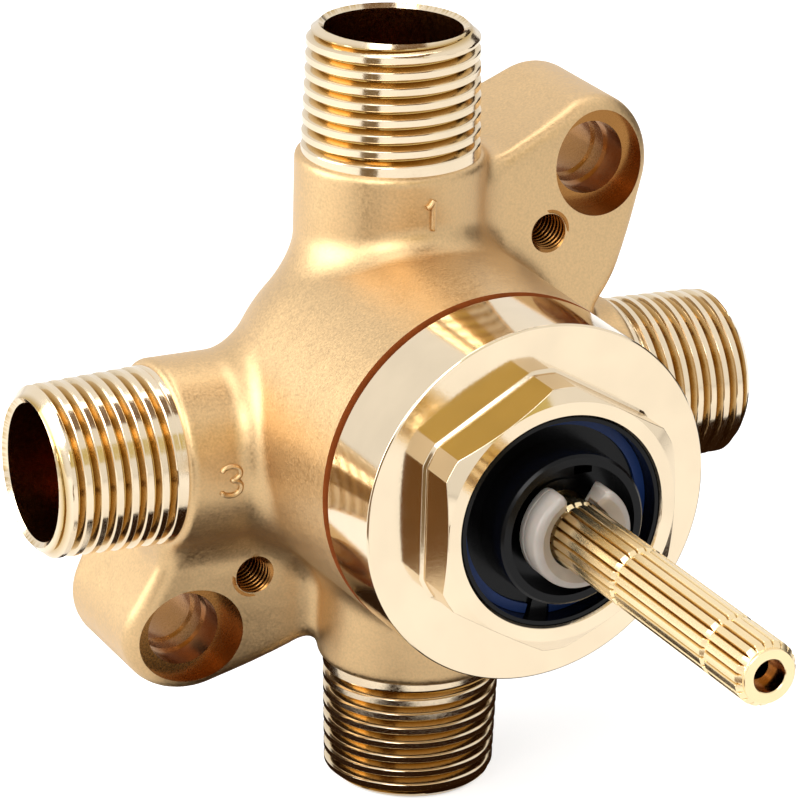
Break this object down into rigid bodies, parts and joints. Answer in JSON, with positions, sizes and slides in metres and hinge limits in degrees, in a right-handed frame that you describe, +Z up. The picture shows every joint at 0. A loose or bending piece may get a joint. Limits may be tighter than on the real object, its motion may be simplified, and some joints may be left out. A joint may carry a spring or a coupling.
{
  "type": "concealed shower valve body",
  "caption": "In-wall shower diverter valve body with threaded ports, screw ears, a hex bonnet and a splined stem.",
  "frame": {"origin": "where the stem's axis crosses the plane of the three outlet ports' axes", "axes": "-Y along the stem to the front, +Z up towards outlet 1, +X towards outlet 2"},
  "size_m": [0.093, 0.1079, 0.093],
  "materials": {
    "cast_brass": "bead-blasted casting, satin",
    "turned_brass": "turned and polished",
    "stem_brass": "extruded and turned, half bright",
    "black_plastic": "moulded, half gloss",
    "blue_plastic": "moulded",
    "white_plastic": "moulded, light grey white",
    "grey_plastic": "moulded",
    "seal_rubber": "moulded nitrile rubber",
    "disc_ceramic": "sintered and lapped alumina"
  },
  "bodies": {
    "casting": {"valve_body": "cast_brass", "bonnet_nut": "turned_brass", "cartridge_housing": "black_plastic", "stop_ring": "blue_plastic", "fixed_disc": "disc_ceramic", "cartridge_base": "black_plastic", "thrust_washer": "grey_plastic", "bonnet_o_ring": "seal_rubber", "housing_o_ring": "seal_rubber", "outlet_seal_1": "seal_rubber", "disc_seal_1": "seal_rubber", "outlet_seal_2": "seal_rubber", "disc_seal_2": "seal_rubber", "outlet_seal_3": "seal_rubber", "disc_seal_3": "seal_rubber"},
    "stem": {"splined_stem": "stem_brass", "stem_clip": "white_plastic", "stem_o_ring_rear": "seal_rubber", "stem_o_ring_front": "seal_rubber", "disc_carrier": "white_plastic", "moving_disc": "disc_ceramic"}
  },
  "joints": [
    {"name": "stem_turn", "type": "hinge", "parent": "casting", "child": "stem", "pos_m": [0, 0, 0], "axis": [0, 1, 0], "range_deg": [-120, 120]}
  ]
}
